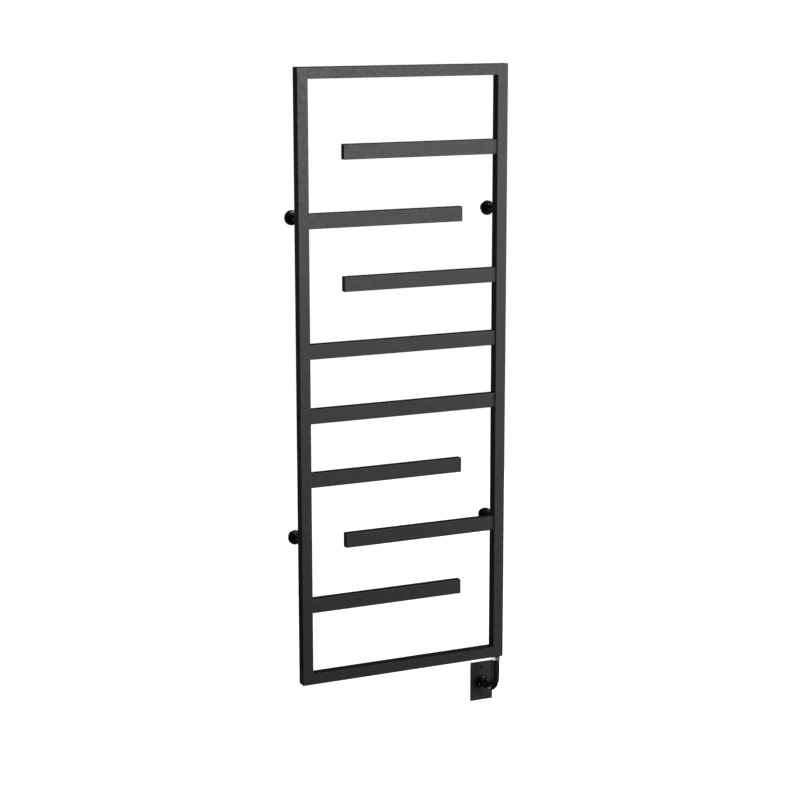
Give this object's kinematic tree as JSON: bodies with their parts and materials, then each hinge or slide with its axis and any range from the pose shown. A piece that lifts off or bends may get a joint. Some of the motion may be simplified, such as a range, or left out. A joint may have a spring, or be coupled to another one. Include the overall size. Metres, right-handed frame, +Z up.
{
  "type": "towel warmer rack",
  "caption": "Wall-hung electric towel warmer: upright frame of square black tube, staggered flat bars open at alternate ends, and an elbow conduit down to a wall outlet plate.",
  "frame": {"origin": "on the wall plane, midway between the four wall bases, which is also the middle of the frame's width and height", "axes": "+Z up, +Y into the wall, +X to the right as seen by someone facing the rack; the rack faces -Y"},
  "size_m": [0.6249, 0.104, 1.8001],
  "materials": {
    "black_powder_coat": "matte, very fine texture",
    "black_fittings": "satin",
    "nickel_plate": "polished",
    "steel": "zinc plated, satin",
    "seal_rubber": "matte",
    "cutout_plastic": "matte",
    "lead_jacket": "matte jacket"
  },
  "bodies": {
    "wall_side": {"wall_base_upper_left": "steel", "wall_base_upper_right": "steel", "wall_base_lower_left": "steel", "wall_base_lower_right": "steel", "outlet_plate": "black_powder_coat", "outlet_flange": "black_fittings", "outlet_screw_upper": "black_fittings", "outlet_screw_lower": "black_fittings"},
    "rack": {"left_stile": "black_powder_coat", "right_stile": "black_powder_coat", "top_rail": "black_powder_coat", "bottom_rail": "black_powder_coat", "bar_1": "black_powder_coat", "bar_2": "black_powder_coat", "bar_3": "black_powder_coat", "bar_4": "black_powder_coat", "bar_5": "black_powder_coat", "bar_6": "black_powder_coat", "bar_7": "black_powder_coat", "bar_8": "black_powder_coat", "bar_1_cap": "black_powder_coat", "bar_2_cap": "black_powder_coat", "bar_3_cap": "black_powder_coat", "bar_6_cap": "black_powder_coat", "bar_7_cap": "black_powder_coat", "bar_8_cap": "black_powder_coat", "post_upper_left": "black_fittings", "post_upper_right": "black_fittings", "post_lower_left": "black_fittings", "post_lower_right": "black_fittings", "conduit_elbow": "black_fittings", "insert_upper_left": "steel", "insert_upper_right": "steel", "insert_lower_left": "steel", "insert_lower_right": "steel", "grub_screw_upper_left": "steel", "grub_screw_upper_right": "steel", "grub_screw_lower_left": "steel", "grub_screw_lower_right": "steel", "heater_sheath": "steel", "conduit_screw": "steel", "drain_plug": "steel", "heater_plug": "nickel_plate", "heater_seal": "seal_rubber", "drain_plug_seal": "seal_rubber", "thermal_cutout": "cutout_plastic", "heater_lead": "lead_jacket"},
    "rosette_upper_left": {"rosette_upper_left": "black_fittings", "rosette_ring_upper_left": "seal_rubber"},
    "rosette_upper_right": {"rosette_upper_right": "black_fittings", "rosette_ring_upper_right": "seal_rubber"},
    "rosette_lower_left": {"rosette_lower_left": "black_fittings", "rosette_ring_lower_left": "seal_rubber"},
    "rosette_lower_right": {"rosette_lower_right": "black_fittings", "rosette_ring_lower_right": "seal_rubber"}
  },
  "joints": [
    {"name": "rack_slide", "type": "slide", "parent": "wall_side", "child": "rack", "axis": [0, -1, 0], "range_m": [0, 0.045]},
    {"name": "rosette_slide_upper_left", "type": "slide", "parent": "rack", "child": "rosette_upper_left", "axis": [0, -1, 0], "range_m": [-0.0147, 0.05]},
    {"name": "rosette_slide_upper_right", "type": "slide", "parent": "rack", "child": "rosette_upper_right", "axis": [0, -1, 0], "range_m": [-0.0147, 0.05]},
    {"name": "rosette_slide_lower_left", "type": "slide", "parent": "rack", "child": "rosette_lower_left", "axis": [0, -1, 0], "range_m": [-0.0147, 0.05]},
    {"name": "rosette_slide_lower_right", "type": "slide", "parent": "rack", "child": "rosette_lower_right", "axis": [0, -1, 0], "range_m": [-0.0147, 0.05]}
  ]
}
